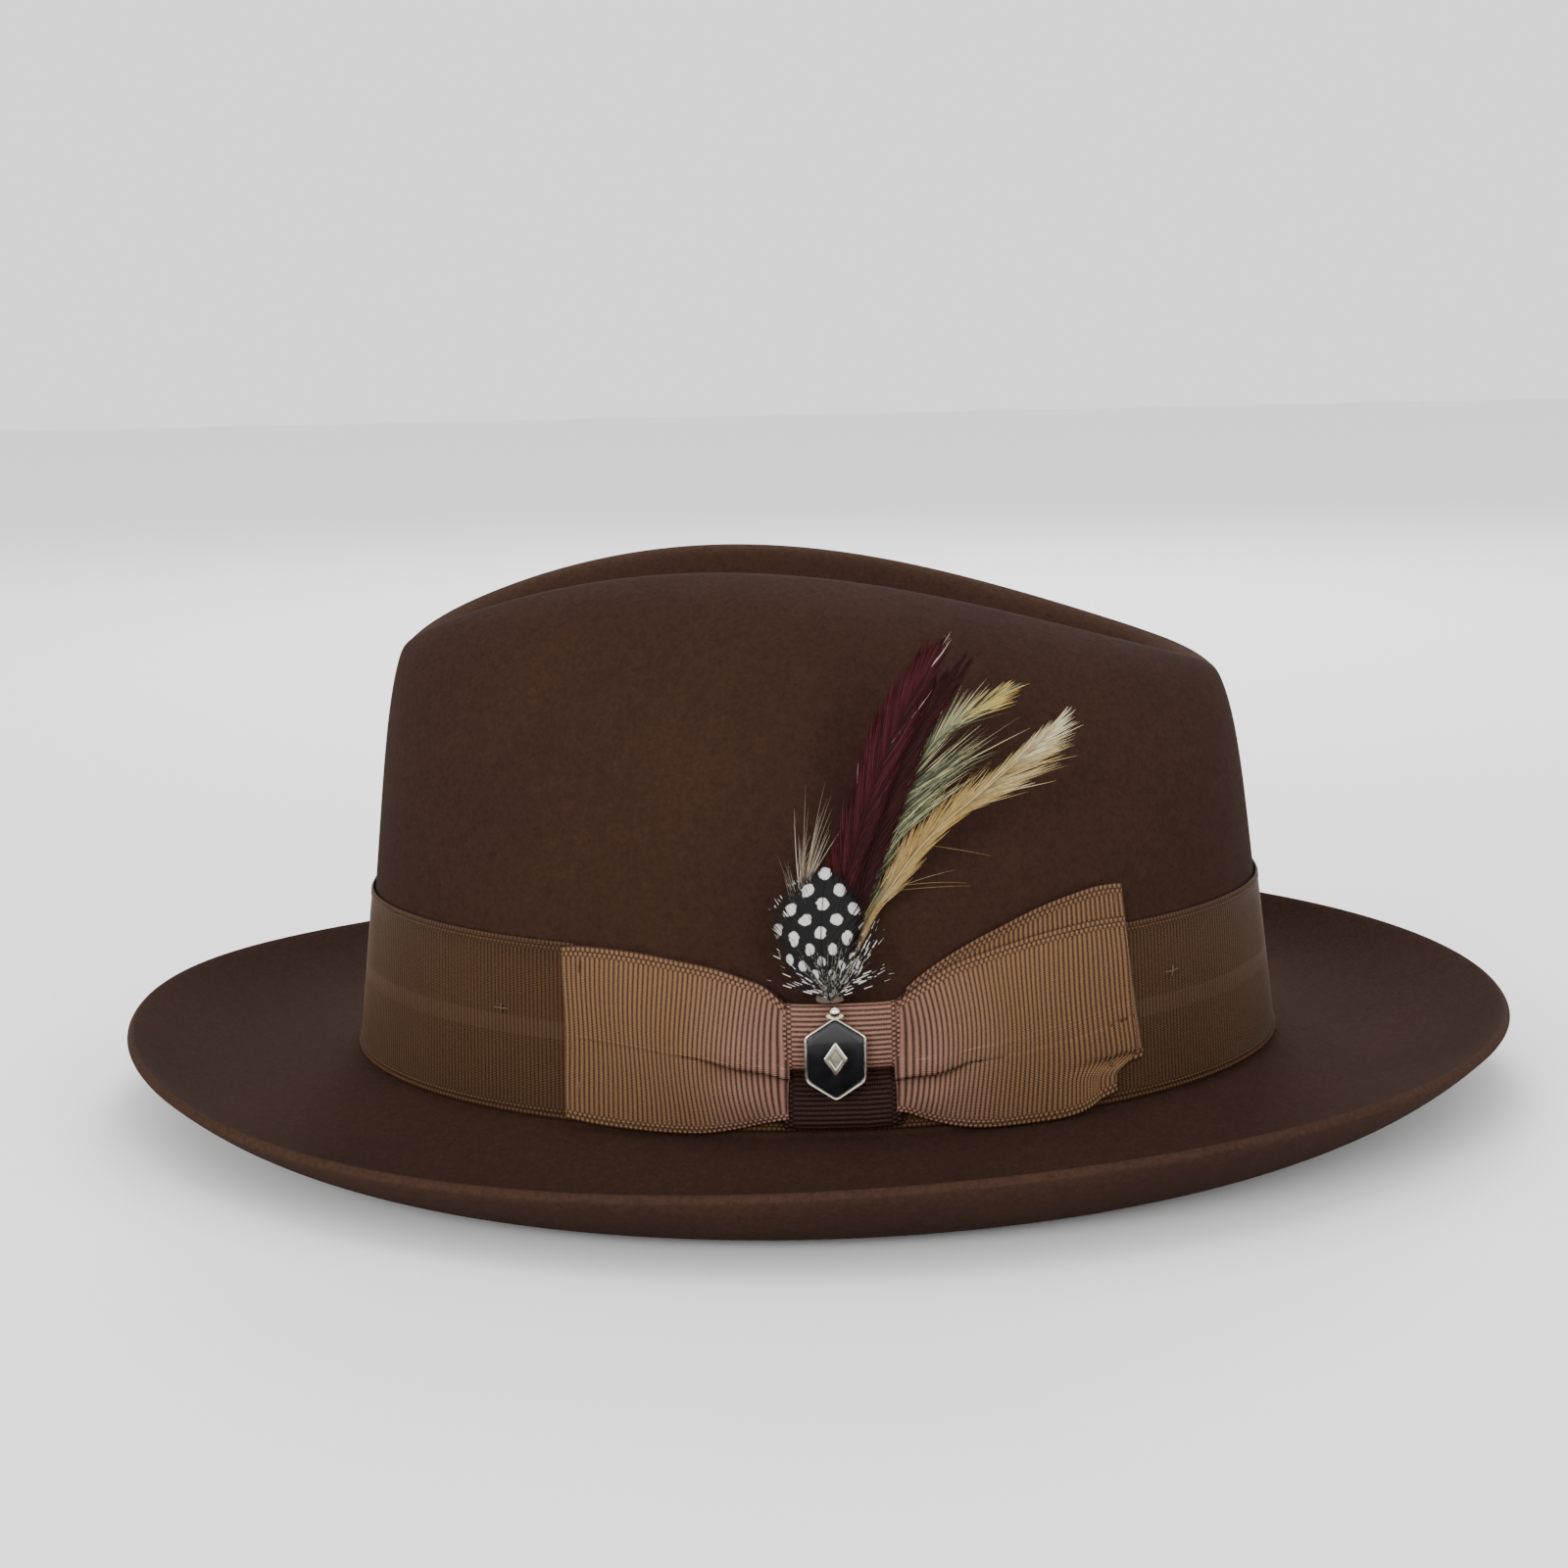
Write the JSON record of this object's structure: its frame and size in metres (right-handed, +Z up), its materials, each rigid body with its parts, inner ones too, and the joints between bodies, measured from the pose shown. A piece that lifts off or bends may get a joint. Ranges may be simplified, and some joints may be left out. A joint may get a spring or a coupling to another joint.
{
  "type": "fedora hat",
  "caption": "Felt fedora with a centre-dent crown, curled raw-edge brim, grosgrain band with a side bow, feathers and a small pin badge.",
  "frame": {"origin": "on the plane that the brim rests on, below the centre of the brim's oval", "axes": "+Z up, -Y to the front of the hat, +X to the wearer's left, where the bow is"},
  "size_m": [0.2902, 0.3106, 0.117],
  "materials": {
    "felt": "matt wool felt with a short nap",
    "grosgrain": "ribbed grosgrain with a low sheen",
    "thread": "matt sewing thread",
    "badge_metal": "polished",
    "enamel": "gloss",
    "clutch_metal": "satin",
    "tape": "matt woven tape",
    "leather": "satin, fine grain",
    "reed": "matt",
    "satin_ribbon": "satin",
    "lining": "satin weave",
    "golden_feather": "soft sheen",
    "olive_feather": "soft sheen",
    "cream_feather": "soft sheen",
    "burgundy_feather": "soft sheen",
    "guinea_feather": "black with white dots"
  },
  "bodies": {
    "hat": {"felt_body": "felt", "band_ribbon": "grosgrain", "band_tacks": "thread", "bow_front_loop": "grosgrain", "bow_rear_loop": "grosgrain", "bow_rear_tail": "grosgrain", "knot_wrap": "grosgrain", "bow_tacks": "thread", "pin_clutch": "clutch_metal", "reed_tape": "tape", "sweatband": "leather", "sweatband_reed": "reed", "sweatband_stitching": "thread", "sweatband_bow": "satin_ribbon", "lining_side": "lining", "lining_tip": "lining"},
    "feather_bunch": {"quill_binding": "thread", "golden_hackle": "golden_feather", "olive_hackle": "olive_feather", "wisp_plume": "cream_feather", "burgundy_feather_back": "burgundy_feather", "burgundy_feather_front": "burgundy_feather", "small_guinea_feather": "guinea_feather", "guinea_feather": "guinea_feather"},
    "badge_pin": {"badge_plate": "badge_metal", "badge_enamel": "enamel", "badge_post": "badge_metal"}
  },
  "joints": [
    {"name": "feather_slide", "type": "slide", "parent": "hat", "child": "feather_bunch", "axis": [0, 0, 1], "range_m": [0, 0.05]},
    {"name": "badge_slide", "type": "slide", "parent": "hat", "child": "badge_pin", "axis": [1, 0, 0], "range_m": [0, 0.012]}
  ]
}
